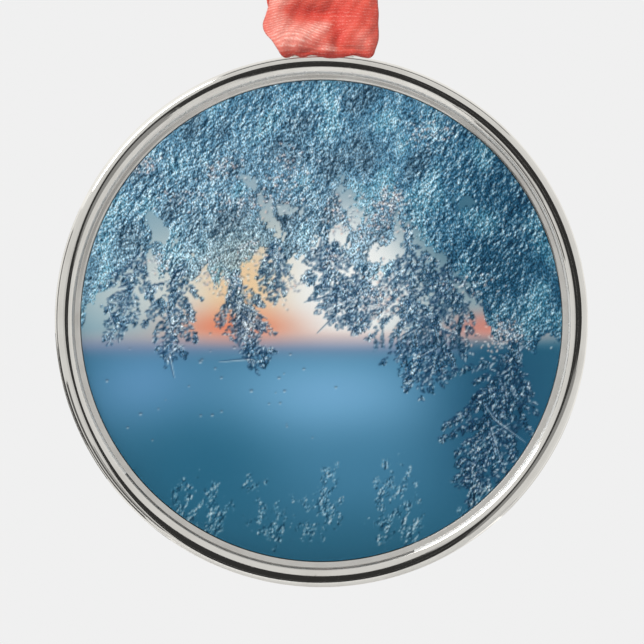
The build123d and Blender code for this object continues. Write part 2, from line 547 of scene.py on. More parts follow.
def crest_waver(angle, radius, height):
    """Moves the bead's surface in or out near its crest, so that its reflections fall as they are seen.

    It is fitted to that look, and isn't known to be the real bead's shape."""
    at, shift, broad = np.array(WAVER).T
    around = np.degrees(angle)
    nearby = (around + np.linspace(-16, 16, 9)) % 360
    share = np.hanning(9) / np.hanning(9).sum()
    shift = np.interp(nearby, at, shift, period=360) @ share
    broad = np.interp(nearby, at, broad, period=360) @ share
    near = bell(radius - CREST_R_MM, 0.7) * (height > LIP_H_MM + 0.1)
    return near * (shift[:, None] + (broad[:, None] - 1) * (radius - CREST_R_MM))


DARK_GROOVE_SPAN = (218, 292)  # the stretch of the groove that looks dark, in degrees from the right
GROOVE_W_MM = 0.28
GROOVE_H_MM = 0.4
DARK_W_MM = 0.12
DULL, DARK, PALE = 1, 2, 3  # material numbers on the rim


def bezel(material, dull, dark_groove, groove):
    """The rim's section: bead, groove, conical lip, pocket and rounded back edge."""
    in_centre = (CREST_R_MM, CREST_H_MM - BEAD_IN_R_MM)
    out_centre = (CREST_R_MM, CREST_H_MM - BEAD_OUT_R_MM)
    back_centre = (RIM_R_MM - BACK_ROUND_MM, BACK_H_MM + BACK_ROUND_MM)
    foot_angle = math.degrees(math.acos((LIP_R_MM - CREST_R_MM) / BEAD_IN_R_MM))
    outer_bead = arc(out_centre, BEAD_OUT_R_MM, 0, 90, 26)
    inner_bead = arc(in_centre, BEAD_IN_R_MM, 90, foot_angle, 26)
    soft = 0.02
    lip = (
        [(LIP_R_MM, LIP_H_MM + 0.02)]
        + straight((LIP_R_MM - 0.02, LIP_H_MM - 0.01), (OPENING_R_MM + soft, LIP_EDGE_H_MM + 0.03), 6)
        + straight((OPENING_R_MM, LIP_EDGE_H_MM - soft), (OPENING_R_MM, PRINT_FRONT_H_MM + soft), 3)
    )
    pocket = straight((OPENING_R_MM, PRINT_FRONT_H_MM), (POCKET_R_MM, PRINT_FRONT_H_MM), 3) + straight(
        (POCKET_R_MM, PRINT_FRONT_H_MM), (POCKET_R_MM, BACK_H_MM), 4
    )
    back = straight((POCKET_R_MM, BACK_H_MM), back_centre[:1] + (BACK_H_MM,), 4)
    back_edge = arc(back_centre, BACK_ROUND_MM, -90, 0, 9)
    wall = straight(back_edge[-1], outer_bead[0], 4)[1:]
    profile = outer_bead + inner_bead[1:] + lip + pocket + back + back_edge + wall
    obj = lathe("bezel", profile, material, crest_waver)
    for finish in (dull, dark_groove, groove):
        obj.data.materials.append(finish)
    for face in obj.data.polygons:
        x, z = face.center.x / MM, face.center.z / MM - CENTRE_Z_MM
        radius = math.hypot(x, z)
        height = -face.center.y / MM
        if height < 2 * PRINT_FRONT_H_MM:
            continue
        around = math.degrees(math.atan2(z, x)) % 360
        if OPENING_R_MM < radius < LIP_R_MM - 0.01:
            face.material_index = DULL
        elif radius < LIP_R_MM + GROOVE_W_MM and height < LIP_H_MM + GROOVE_H_MM:
            # a darker silver next to the lip along the stretch of the groove that looks dark, pale silver
            # elsewhere
            if not DARK_GROOVE_SPAN[0] < around < DARK_GROOVE_SPAN[1]:
                face.material_index = PALE
            else:
                face.material_index = DARK if radius < LIP_R_MM + DARK_W_MM else DULL
    return obj


LENS_STEPS = 14
GAP_MM = 0.02  # between the lens and the print


def lens(material):
    """The low dome and its upturned edge, closed at the back."""
    flat_r = LENS_EDGE_R_MM - LENS_UPTURN_RUN_MM
    flat_h = LIP_EDGE_H_MM - LENS_UPTURN_RISE_MM
    dome_r = (flat_r**2 + LENS_CROWN_MM**2) / (2 * LENS_CROWN_MM)
    upturn_r = (LENS_UPTURN_RUN_MM**2 + LENS_UPTURN_RISE_MM**2) / (2 * LENS_UPTURN_RISE_MM)
    profile = []
    for r in np.linspace(0, flat_r, LENS_STEPS):
        profile.append((r, flat_h + LENS_CROWN_MM - (dome_r - math.sqrt(dome_r**2 - r * r))))
    for r in np.linspace(0, LENS_UPTURN_RUN_MM, LENS_STEPS)[1:]:
        profile.append((flat_r + r, flat_h + upturn_r - math.sqrt(upturn_r**2 - r * r)))
    back_h = PRINT_FRONT_H_MM + GAP_MM
    return lathe("lens", profile + [(LENS_EDGE_R_MM, back_h), (0, back_h)], material)


def plate(material):
    """The back plate, with a softened edge and a shallow turned step."""
    front, back, soft = PLATE_FRONT_H_MM, PLATE_BACK_H_MM, 0.25
    step_r, step = STACK_R_MM - 2.2, 0.06
    profile = (
        [(0, front), (STACK_R_MM, front)]
        + arc((STACK_R_MM - soft, back + soft), soft, 0, -90, 8)
        + [(step_r + 0.3, back), (step_r, back + step), (step_r - 0.25, back + step), (step_r - 0.5, back)]
        + [(r, back) for r in np.linspace(step_r - 1.5, 0, 12)]
    )
    return lathe("plate", profile, material)


def round_wire(name, path, radius, material, sides=32):
    """A wire along points in millimetres that lie in the XZ plane, with a flare at its feet."""
    path = np.array(path, float)
    tangent = np.gradient(path, axis=0)
    tangent /= np.linalg.norm(tangent, axis=1)[:, None]
    across = np.array([0.0, 1.0, 0.0])
    side = np.cross(tangent, across)
    turn = np.linspace(0, 2 * np.pi, sides, endpoint=False)
    above = path[:, 2] - RIM_TOP_MM
    flare = radius * (1 + 0.9 * np.exp(-np.clip(above + 0.1, 0, None) / 0.22))
    ring = np.cos(turn)[None, :, None] * side[:, None, :] + np.sin(turn)[None, :, None] * across
    points = path[:, None, :] + flare[:, None, None] * ring
    return link(name, mesh_from_grid(name, points, wrap_columns=True), material)


def hanger(material):
    """The staple on the rim that the ribbon goes through, soldered at both feet."""
    half = (LOOP_HIGH.x - LOOP_LOW.x) / 2 / MM - WIRE_R_MM
    top = LOOP_HIGH.z / MM - WIRE_R_MM
    corner = 1.1
    foot = RIM_TOP_MM - 0.5
    left = [(-half, 0, z) for z in np.linspace(foot, top - corner, 24)[:-1]]
    bend = [(-half + corner - corner * math.cos(a), 0, top - corner + corner * math.sin(a))
            for a in np.linspace(0, math.pi / 2, 12)]
    bar = [(x, 0, top) for x in np.linspace(-half + corner, half - corner, 10)[1:-1]]
    half_path = left + bend
    mirrored = [(-x, y, z) for x, y, z in reversed(half_path)]
    return round_wire("hanger", half_path + bar + mirrored, WIRE_R_MM, material)


# ---- the printed picture

# Painted on a fine square grid, from which each vertex of the print takes the mean of a patch
PATCH = 2
VERTEX_MM = 0.125
CELLS = PATCH * int(2 * STACK_R_MM / VERTEX_MM)
CELL_MM = 2 * STACK_R_MM / CELLS


axis = (np.arange(CELLS) + 0.5) * CELL_MM - STACK_R_MM
X, Z = np.meshgrid(axis, axis)  # x to the right, z up: row 0 is the bottom


def streaks(rng, along_mm, across_mm, angle_deg):
    """Gaussian noise smoothed to streaks of that size along a direction, with unit deviation."""
    f = np.fft.fftfreq(CELLS, CELL_MM)
    along, across = turned(*np.meshgrid(f, f), np.radians(angle_deg))
    keep = np.exp(-2 * np.pi**2 * ((along * along_mm) ** 2 + (across * across_mm) ** 2))
    n = np.fft.ifft2(np.fft.fft2(rng.standard_normal((CELLS, CELLS))) * keep).real
    return (n - n.mean()) / n.std()


def blot(x, z, rx, rz, sharp):
    """1 in the middle of an ellipse, falling to 0 past its edge."""
    return np.exp(-((((X - x) / rx) ** 2 + ((Z - z) / rz) ** 2) ** sharp))


def lay(picture, colour, cover):
    return picture + (colour - picture) * np.clip(cover, 0, 1)[..., None]


# Soft patches of the view behind the frost: x, z, half width, half height in millimetres,
# sharpness of the edge, colour and cover
SKY = (
    (0, 15, 26, 8, 1.2, (168, 188, 198), 0.9),
    (0, 3.5, 30, 7.5, 1.6, (240, 236, 226), 1.0),
    (15, 12, 11, 12, 1.0, (54, 104, 128), 0.85),
    (3.5, 4.0, 8.0, 9.0, 1.8, (255, 254, 250), 1.0),
    (-9.0, 3.0, 4.6, 7.0, 1.3, (246, 208, 160), 0.95),
    (-9.5, -1.0, 7.0, 2.4, 1.2, (240, 134, 100), 0.9),
    (19.0, -0.8, 5.0, 1.8, 1.3, (228, 136, 118), 0.85),
    (0, -2.0, 30, 0.9, 1.3, (236, 190, 178), 0.5),
)
GROUND = (
    (1.0, -8.5, 16, 7.0, 1.0, (128, 184, 222), 0.95),
    (-20.0, -7.0, 8.0, 5.5, 1.0, (108, 160, 202), 0.8),
    (4.0, -17, 13, 6, 1.0, (74, 136, 170), 0.75),
    (-13.0, -17, 8, 7, 1.2, (40, 106, 136), 0.8),
    (20.0, -10, 7, 12, 1.0, (28, 82, 112), 0.9),
)
HORIZON_MM = -2.3
LAYOUT_SEED = 23
GRAIN_SEED = 7
BARBS_PER_MM = 4


def patchwork(plain, patches):
    """A plain colour under soft patches."""
    picture = np.ones((CELLS, CELLS, 3)) * srgb(*plain)
    for x, z, rx, rz, sharp, colour, cover in patches:
        picture = lay(picture, srgb(*colour), cover * blot(x, z, rx, rz, sharp))
    return picture


def sky_and_ground():
    """The blurred dusk behind the glass."""
    below = HORIZON_MM - Z
    haze = bell(below, 1.3) * (1 - smooth(X, 13, 19))
    ground = lay(patchwork((40, 100, 126), GROUND), srgb(164, 152, 180), 0.7 * haze)
    return lay(patchwork((98, 146, 168), SKY), ground, smooth(below, -1.2, 1.3))


def frost_edge(plan):
    """Height of the dense frost's lower edge from left to right: wavy, and lower at both sides."""
    x = np.arange(-29.0, 30.0)
    wave = np.convolve(plan.normal(0, 1, len(x) + 8), np.hanning(9), "valid")
    ragged = plan.uniform(-1.0, 1.0, len(x))
    return x, 6.6 + 1.2 * wave + ragged - 10 * smooth(np.abs(x + 2), 17, 27)


def dense_frost(plan, edge):
    """How far inside the dense frost a place is, with a few clear places in it."""
    inside = (Z - np.interp(X, *edge)) * 0.8
    for _ in range(9):
        x, z, tilt = plan.uniform(-22, 22), plan.uniform(4, 15), plan.uniform(-1.4, 1.4)
        long_, wide = plan.uniform(0.7, 2.2), plan.uniform(0.4, 1.0)
        along, across = turned(X - x, Z - z, tilt)
        inside = np.minimum(inside, (np.hypot(along / long_, across / wide) - 1) * wide)
    return inside


def window(x0, z0, x1, z1, margin):
    """The cells round a stretch from one place to another."""
    low_x, high_x = sorted((x0, x1))
    low_z, high_z = sorted((z0, z1))
    edges = (low_z - margin, high_z + margin, low_x - margin, high_x + margin)
    r0, r1, c0, c1 = (int(np.clip((v + STACK_R_MM) / CELL_MM, 0, CELLS)) for v in edges)
    return slice(r0, r1), slice(c0, c1)


def strokes(table, grow=0.0):
    """How far inside the nearest of some tapered strokes a place is, in millimetres."""
    inside = np.full((CELLS, CELLS), -9.0)
    for x0, z0, x1, z1, half0, half1, sag in table:
        run = np.array([x1 - x0, z1 - z0])
        length = np.hypot(*run)
        near = window(x0, z0, x1, z1, max(half0, half1) + abs(sag) + 1.5)
        dx, dz = X[near] - x0, Z[near] - z0
        share = np.clip((dx * run[0] + dz * run[1]) / length**2, 0, 1)
        bow = sag * 4 * share * (1 - share) / length
        away = np.hypot(dx - share * run[0] + bow * run[1], dz - share * run[1] - bow * run[0])
        inside[near] = np.maximum(inside[near], grow + half0 + (half1 - half0) * share - away)
    return inside


def fern(plan, x, z, length, heading, half):
    """A stem with branches to both sides, as tapered strokes: x, z to x, z, half widths, bow."""
    run = length * np.array([np.cos(heading), np.sin(heading)])
    parts = [(x, z, x + run[0], z + run[1], half, 0.2, plan.uniform(-0.7, 0.7))]
    for share in np.arange(0.1, 0.92, 1.05 / length):
        for side in (-1, 1):
            reach = plan.uniform(0.25, 0.55) * length * (1 - share) ** 0.7
            turn = heading + side * plan.uniform(0.55, 1.0)
            bx, bz = x + share * run[0], z + share * run[1]
            end = (bx + reach * np.cos(turn), bz + reach * np.sin(turn))
            parts.append((bx, bz, *end, 0.62 * half, 0.14, 0.1 * side))
    return parts


def hanging_ferns(plan, edge):
    """Ferns that hang from the dense frost's lower edge, of every length."""
    parts = []
    for place in np.linspace(-21, 21, 9):
        x = place + plan.uniform(-1.5, 1.5)
        z = np.interp(x, *edge) + 0.8
        heading = -np.pi / 2 + plan.uniform(-0.4, 0.4)
        parts += fern(plan, x, z, plan.choice((7.0, 11.0, 15.0, 19.0)), heading, plan.uniform(0.45, 0.75))
    return parts


def low_ferns(plan):
    """Fainter ferns that grow up from the bottom."""
    parts = []
    for place in np.linspace(-17, 17, 7):
        heading = np.pi / 2 + plan.uniform(-0.5, 0.5)
        parts += fern(plan, place + plan.uniform(-2, 2), -24.5, plan.uniform(6, 11), heading, 0.8)
    return parts


def far_trees(plan):
    """A row of small pointed tips along the horizon."""
    parts = []
    for x in np.arange(6.0, 17.0, 0.85):
        height, base = plan.uniform(1.0, 3.2), HORIZON_MM - 0.6
        parts.append((x, base, x, base + height, plan.uniform(0.26, 0.42), 0.05, 0.0))
    return parts


def loose_needles(plan, ferns):
    """Thin bright needles that stand off from the ferns: x, z to x, z and half width."""
    table = []
    for place in plan.choice(len(ferns), 24, replace=False):
        x, z = ferns[place][:2]
        turn, length = plan.uniform(0, 2 * np.pi), plan.uniform(1.5, 4.5)
        table.append((x, z, x + length * np.cos(turn), z + length * np.sin(turn), 0.11))
    return table


def facets(rng, size_mm):
    """Relief of small crystals and the light on its slopes, each with unit deviation."""
    turns = np.exp(1.5 * np.array([streaks(rng, 2.6, 1.8, 90) for _ in range(3)]))
    turns /= np.sqrt((turns**2).sum(0))
    relief = 0
    for share, angle in zip(turns, (100, 62, 138)):
        fine = streaks(rng, 0.75 * size_mm, 0.55 * size_mm, angle)
        coarse = streaks(rng, 2.0 * size_mm, 1.3 * size_mm, angle + 8)
        relief = relief + share * (fine + 1.0 * coarse)
    right = np.roll(relief, -1, 1) - np.roll(relief, 1, 1)
    up = np.roll(relief, -1, 0) - np.roll(relief, 1, 0)
    side = right - 0.7 * up
    return relief / relief.std(), side / side.std()


def crystal_colour(tone, base, light=(236, 243, 244)):
    """A facet's colour from its tone: deep blue in the dark, the sky's own colour, then near white."""
    dark = lay(base * 0.42, srgb(12, 54, 86), np.full(tone.shape, 0.55))
    bright = lay(base, srgb(*light), np.full(tone.shape, 0.82))
    t = tone[..., None]
    darker = base + (dark - base) * np.clip(-t, 0, 1)
    brighter = base + (bright - base) * np.clip(t, 0, 1)
    return np.where(t < 0, darker, brighter)


def needles(picture, table):
    """Draws thin needles: a bright core between dark edges."""
    for x0, z0, x1, z1, half in table:
        near = window(x0, z0, x1, z1, 1.0)
        along, away = turned(X[near] - x0, Z[near] - z0, np.arctan2(z1 - z0, x1 - x0))
        share = along / np.hypot(x1 - x0, z1 - z0)
        width = half * np.clip(1.25 - share, 0, 1) ** 0.5
        within = (share > 0) & (share < 1)
        core = within * bell(away, 0.55 * width + 1e-3)
        edge = within * bell(away + 1.5 * width, 0.7 * width + 1e-3)
        picture[near] = lay(picture[near], srgb(36, 74, 108), 0.75 * edge)
        picture[near] = lay(picture[near], srgb(226, 236, 240), 0.7 * core)
    return picture


def barbs(rng, picture, table, deep, side):
    """Short crystals growing out of the ferns, forwards and to both sides, each with a dark edge."""
    for x0, z0, x1, z1, half0, half1, sag in table:
        length = np.hypot(x1 - x0, z1 - z0)
        heading = np.arctan2(z1 - z0, x1 - x0)
        for _ in range(int(5 + BARBS_PER_MM * length)):
            share = rng.uniform(0, 1)
            half = half0 + (half1 - half0) * share
            swing = rng.choice((-1, 1)) * rng.uniform(0.5, 1.15)
            reach = min((half + 0.1) * rng.uniform(0.6, 1.1) / np.sin(abs(swing)), 1.3)
            bow = sag * 4 * share * (1 - share)
            x = x0 + (x1 - x0) * share - bow * np.sin(heading)
            z = z0 + (z1 - z0) * share + bow * np.cos(heading)
            turn = np.array([np.cos(heading + swing), np.sin(heading + swing)])
            x, z = np.array([x, z]) + 0.35 * reach * turn
            near = window(x, z, *(np.array([x, z]) + reach * turn), 0.4)
            along, away = turned(X[near] - x, Z[near] - z, heading + swing)
            width = rng.uniform(0.08, 0.15) * np.clip(1.1 - along / reach, 0, 1) ** 0.35 + 1e-3
            within = smooth(along, -0.1, 0.1) * (along < 1.1 * reach)
            edge = within * bell(away + 1.3 * width, width)
            core = within * np.exp(-((away / width) ** 4))
            tone = rng.uniform(-0.7, 1.0) + 0.5 * side[near]
            picture[near] = lay(picture[near], srgb(24, 56, 90), 0.65 * edge)
            picture[near] = lay(picture[near], crystal_colour(tone, deep[near]), 0.8 * core)
    return picture


def droplets(rng, picture):
    """Small clear droplets: dark on top, bright below."""
    for _ in range(46):
        x, z = rng.uniform(-24, 2), rng.uniform(-14, 6)
        size = rng.uniform(0.10, 0.24)
        near = window(x, z, x, z, 0.6)
        top = blot(x, z + 0.35 * size, size, 0.6 * size, 1.6)[near]
        foot = blot(x, z - 0.45 * size, 0.7 * size, 0.4 * size, 1.6)[near]
        picture[near] = lay(picture[near], srgb(62, 84, 104), 0.55 * top)
        picture[near] = lay(picture[near], srgb(246, 246, 244), 0.6 * foot)
    return picture


def glints(rng, picture, edge):
    """Tiny bright facets in loose groups, some of them warm."""
    for _ in range(24):
        x, rx, rz = rng.uniform(-21, 21), rng.uniform(1.6, 3.6), rng.uniform(1.2, 2.4)
        z = np.interp(x, *edge) + rng.uniform(-4, 13)
        for _ in range(rng.integers(25, 85)):
            at = (x + rng.normal(0, rx / 2), z + rng.normal(0, rz / 2))
            long_, thin, turn = rng.uniform(0.10, 0.19), rng.uniform(0.07, 0.12), rng.uniform(0, np.pi)
            w = window(*at, *at, 0.5)
            u, v = turned(X[w] - at[0], Z[w] - at[1], turn)
            u, v = u / long_, v / thin
            colour = srgb(250, 250, 246) if rng.random() < 0.72 else srgb(248, 216, 200)
            picture[w] = lay(picture[w], colour, 0.8 * np.exp(-((u * u + v * v) ** 1.4)))
            picture[w] = lay(picture[w], srgb(40, 60, 92), 0.35 * np.exp(-(u * u + (v + 1.6) ** 2)))
    return picture


def paint():
    """The whole print, from the dusk at the back to the glints, and how much frost covers it."""
    rng = np.random.default_rng(GRAIN_SEED)
    plan = np.random.default_rng(LAYOUT_SEED)
    edge = frost_edge(plan)
    ferns = hanging_ferns(plan, edge)
    picture = sky_and_ground()
    relief, side = facets(rng, 0.125)
    patches = streaks(rng, 1.2, 0.8, 70)
    broad = streaks(rng, 4.0, 2.5, 60)
    ragged = 0.16 * relief + 0.20 * streaks(rng, 0.5, 0.16, 65) + 0.20 * streaks(rng, 0.7, 0.4, 110)

    inside = dense_frost(plan, edge) + ragged * 1.3
    cover_dense = smooth(inside, -0.05, 0.20)
    busy = smooth(broad, -1.2, 1.2)
    right = smooth(X - 0.15 * Z, 5, 18)
    sunny = smooth(Z + 0.35 * np.abs(X + 4) - 4, 18, 4)
    tone = ((0.30 + 0.28 * busy) * side + 0.20 * relief + 0.18 * patches) * (1 - 0.25 * right) - 0.02
    tone = tone - 0.30 * bell(inside - 0.2, 0.2) + 0.16 * sunny * np.maximum(side, 0)
    # frost takes some of the light behind it, and is bluer than it
    blue = srgb(74, 138, 178) + (srgb(30, 82, 112) - srgb(74, 138, 178)) * right[..., None]
    shade = lay(picture * 0.95, blue, 0.50 + 0.40 * right)
    shade = shade * (1 - np.stack((0.16 * right, 0.04 * right, 0.02 * right), -1))
    shade = lay(shade, srgb(66, 150, 172), 0.30 * smooth(patches, 0.2, 1.6))
    shade = lay(shade, srgb(150, 158, 166), 0.30 * smooth(-patches, 0.4, 1.8) * (1 - right))
    picture = lay(picture, crystal_colour(tone, shade, (222, 240, 246)), cover_dense)

    # the ferns, of coarser crystals with dark outlines
    relief, side = facets(rng, 0.135)
    inside = strokes(ferns, -0.02) + 0.7 * ragged
    cover_fern = smooth(inside, -0.06, 0.16)
    outline = bell(inside - 0.10, 0.14)
    cells = bell(relief, 0.32)
    tone = 0.92 * side + 0.28 * relief - 0.50 * cells - 0.54 * outline + 0.36 + 0.16 * patches
    tone = tone * (1 - 0.42 * right) - 0.26 * right
    deep = lay(picture * 0.86, blue * 0.98, 0.62 + 0.2 * right)
    picture = barbs(rng, lay(picture, crystal_colour(tone, deep), cover_fern), ferns, deep, side)

    inside = strokes(far_trees(plan)) + 0.35 * ragged
    picture = lay(picture, crystal_colour(0.5 * side - 0.40, deep), 0.8 * smooth(inside, -0.04, 0.10))
    picture = needles(picture, loose_needles(plan, ferns))

    inside = strokes(low_ferns(plan)) + 1.6 * ragged
    tone = 0.48 * side - 0.34 * cells + 0.12
    cover_faint = smooth(inside, -0.1, 0.5)
    picture = lay(picture, crystal_colour(tone, picture), 0.85 * cover_faint)
    frost = np.maximum(cover_dense, np.maximum(cover_fern, 0.5 * cover_faint))
    return np.clip(glints(rng, droplets(rng, picture), edge), 0, 1), frost


def rim_of(quads, count):
    """The vertices round the edge of a sheet of quads, in order."""
    starts = quads.ravel()
    ends = np.roll(quads, -1, axis=1).ravel()
    lone = ~np.isin(starts * count + ends, ends * count + starts)
    follow = dict(zip(starts[lone].tolist(), ends[lone].tolist()))
    rim = [min(follow)]
    while follow[rim[-1]] != rim[0]:
        rim.append(follow[rim[-1]])
    return np.array(rim)


def picture_disc(material):
    """The print: a round sheet whose vertices carry the painted colours."""
    picture, frost = paint()
    size = CELLS // PATCH
    picture = picture.reshape(size, PATCH, size, PATCH, 3).mean((1, 3)).reshape(-1, 3)
    frost = frost.reshape(size, PATCH, size, PATCH).mean((1, 3)).ravel()
    place = (np.arange(size) + 0.5) * PATCH * CELL_MM - STACK_R_MM
    x, z = np.meshgrid(place, place)
    r = np.hypot(x, z)
    near_rim = (r > STACK_R_MM - 0.5 * VERTEX_MM) & (r < STACK_R_MM + VERTEX_MM)
    pull = np.where(near_rim, STACK_R_MM / r, 1)
    x, z = (x * pull).ravel(), (z * pull).ravel()
    index = np.arange(size * size).reshape(size, size)
    quads = np.stack([index[:-1, :-1], index[:-1, 1:], index[1:, 1:], index[1:, :-1]], -1).reshape(-1, 4)
    inside = np.hypot(x, z) < STACK_R_MM + 1e-6
    used, quads = np.unique(quads[inside[quads].all(1)], return_inverse=True)
    quads = quads.reshape(-1, 4)
    rim = rim_of(quads, len(used))
    behind = len(used) + np.arange(len(rim))  # the rim's vertices again, on the back
    sides = np.stack([np.roll(rim, -1), rim, behind, np.roll(behind, -1)], -1)
    cell = np.concatenate([used, used[rim]])
    y = np.where(np.arange(len(cell)) < len(used), -PRINT_FRONT_H_MM, -PRINT_BACK_H_MM)
    points = np.stack([x[cell], y, z[cell] + CENTRE_Z_MM], -1) * MM
    mesh = bpy.data.meshes.new("picture")
    mesh.from_pydata(points.tolist(), [], quads.tolist() + sides.tolist() + [behind[::-1].tolist()])
    ink = np.ones((len(cell), 4), np.float32)
    ink[:, :3] = linear(picture[cell])
    mesh.color_attributes.new("ink", "FLOAT_COLOR", "POINT").data.foreach_set("color", ink.ravel())
    shares = frost[cell].astype(np.float32)
    mesh.attributes.new("frost", "FLOAT", "POINT").data.foreach_set("value", shares)
    return keep_corners(link("picture", mesh, material))


# ---- ribbon

CLOTH_T_MM = 0.22
JOIN_Z_MM = -58.0  # where the lower and upper pieces of the loop meet
FOOT_Y_MM = 1.15
FOOT_Z_MM = LOWER_LOW.z / MM
SPREAD_Y_MM = 2.4
TWIST_Z_MM = -35.0
NECK_Y_MM = 0.2
NECK_W_MM = 6.4
TAPER_H_MM = 15.0
TAIL_L_MM = 20.0
TAIL_SLANT_MM = 3.5
TAIL_ROOT_MM = 1.3  # how far the tails start below the knot's top
TAIL_LEAN_DEG = 15
TAIL_SPLAY_DEG = 14
STRAND_COLUMNS = 57


def through(values, at):
    """A smooth curve through evenly placed values, read at given places."""
    values = np.array(values, float)
    slope = np.gradient(values, axis=0)
    i = np.clip(at.astype(int), 0, len(values) - 2)
    t = (at - i)[:, None]
    a, b = values[i], values[i + 1]
    ease = t * t * (3 - 2 * t)
    return a + (b - a) * ease + t * (1 - t) * (slope[i] * (1 - t) - slope[i + 1] * t)


def evenly(table, columns, step_mm):
    """Rows read along a table so that the path in the given columns is cut into even steps."""
    fine = np.linspace(0, len(table) - 1, 60 * len(table))
    path = through(table, fine)[:, columns]
    run = np.concatenate([[0], np.cumsum(np.linalg.norm(np.diff(path, axis=0), axis=1))])
    along = np.linspace(0, run[-1], int(run[-1] / step_mm) + 1)
    at = np.interp(along, run, fine)
    return at, along, through(table, at)


def cloth(name, places, cloth_mm, material):
    """A ribbon of real thickness round a grid of x, y and z, closed at its edges and its ends."""
    x, y, z, u_mm, v_mm = np.broadcast_arrays(*places, *cloth_mm)
    points = np.stack([x, y, z], -1)
    normal = np.cross(np.gradient(points, axis=0), np.gradient(points, axis=1))
    normal /= np.linalg.norm(normal, axis=-1, keepdims=True) + 1e-12
    edge = np.abs(np.linspace(-1, 1, points.shape[1]))
    half = CLOTH_T_MM / 2 * (1 + 0.5 * bell(edge - 0.97, 0.02))
    half[0] = half[-1] = CLOTH_T_MM * 0.15
    offset = normal * half[None, :, None]
    ring = np.concatenate([points + offset, (points - offset)[:, ::-1]], 1)
    u = np.concatenate([u_mm, u_mm[:, ::-1]], 1)
    v = np.concatenate([v_mm, v_mm[:, ::-1]], 1)
    closing = [0] + list(range(len(ring))) + [len(ring) - 1]
    ring, u, v = ring[closing], u[closing], v[closing]
    ring[0] = (ring[0] + ring[0][::-1]) / 2
    ring[-1] = (ring[-1] + ring[-1][::-1]) / 2
    mesh = mesh_from_grid(name, ring, wrap_columns=True)
    add_uv(mesh, u.ravel(), v.ravel())
    weld(mesh)
    return link(name, mesh, material)


def joined(name, pieces):
    """Several pieces of cloth as one object."""
    with bpy.context.temp_override(active_object=pieces[0], selected_editable_objects=pieces):
        bpy.ops.object.join()
    pieces[0].name = name
    pieces[0].data.name = name
    return pieces[0]


RIB_MM = 0.33  # from one woven rib to the next


def satin():
    """Woven satin: fine ribs across the ribbon, broken into short floats, with painted glints on their tops
    and painted shade between them.

    The attribute read below, from -1 to 1, lays painted highlight (1) and painted shade (-1) into the
    colour."""
    n = Nodes("coral_satin", Roughness=0.42, Specular_IOR_Level=0.35, Sheen_Weight=0.12,
              Sheen_Roughness=0.35, Sheen_Tint=(1.0, 0.62, 0.55, 1))
    uv = n.add("UVMap", uv_map="cloth_mm").outputs[0]
    along = n.add("SeparateXYZ", Vector=uv).outputs[1]
    unevenness = n.noise(1.0, n.stretched(uv, (0.6, 1.6, 1)), detail=2)
    wander = n.math("MULTIPLY_ADD", unevenness, 0.34, along)
    rib = n.math("SINE", n.math("MULTIPLY", wander, 2 * math.pi / RIB_MM))
    floats = n.noise(1.0, n.stretched(uv, (3.8, 7.0, 1)), detail=2, roughness=0.7)
    deep = n.ramp(floats, 0.44, 0.58, 0.0, 1.0)
    height = n.math("MULTIPLY", rib, deep)
    fine = n.noise(11.0, uv, detail=1)
    cloud = n.noise(0.5, uv, detail=3)
    painted_gleam = n.add("Attribute", attribute_name="painted_gleam").outputs["Fac"]
    base = n.mix(n.ramp(cloud, 0.35, 0.7), from_srgb(212, 70, 54), from_srgb(226, 86, 68))
    # painted shade laid into the folds, where the attribute is below 0
    base = n.mix(n.math("MAXIMUM", n.math("MULTIPLY", painted_gleam, -0.85), 0.0), base, from_srgb(208, 46, 32))
    # painted highlight laid in where the attribute is above 0
    base = n.mix(n.math("MAXIMUM", n.math("MULTIPLY", painted_gleam, 0.62), 0.0), base, from_srgb(248, 180, 164))
    lit = n.math("MAXIMUM", painted_gleam, 0.0)
    # painted shade between the ribs, deeper where the highlight is painted
    shade = n.math("MULTIPLY", n.ramp(height, -0.9, 0.2, 1.0, 0.0), n.math("MULTIPLY_ADD", lit, 0.22, 0.20))
    colour = n.mix(shade, base, from_srgb(188, 48, 40))
    # painted glints on the ribs' tops, brighter where the highlight is painted, with fine painted specks
    dots = n.math("MULTIPLY", n.ramp(fine, 0.42, 0.62), 0.10)
    glint = n.math("MULTIPLY_ADD", n.ramp(height, 0.15, 0.8), n.math("MULTIPLY_ADD", lit, 0.58, 0.18), dots)
    colour = n.mix(glint, colour, from_srgb(255, 206, 192))
    normal = n.bump(fine, 0.00001, 0.5, n.bump(height, 0.00002, 0.8))
    return n.done(colour, n.ramp(floats, 0.3, 0.7, 0.46, 0.34), normal)


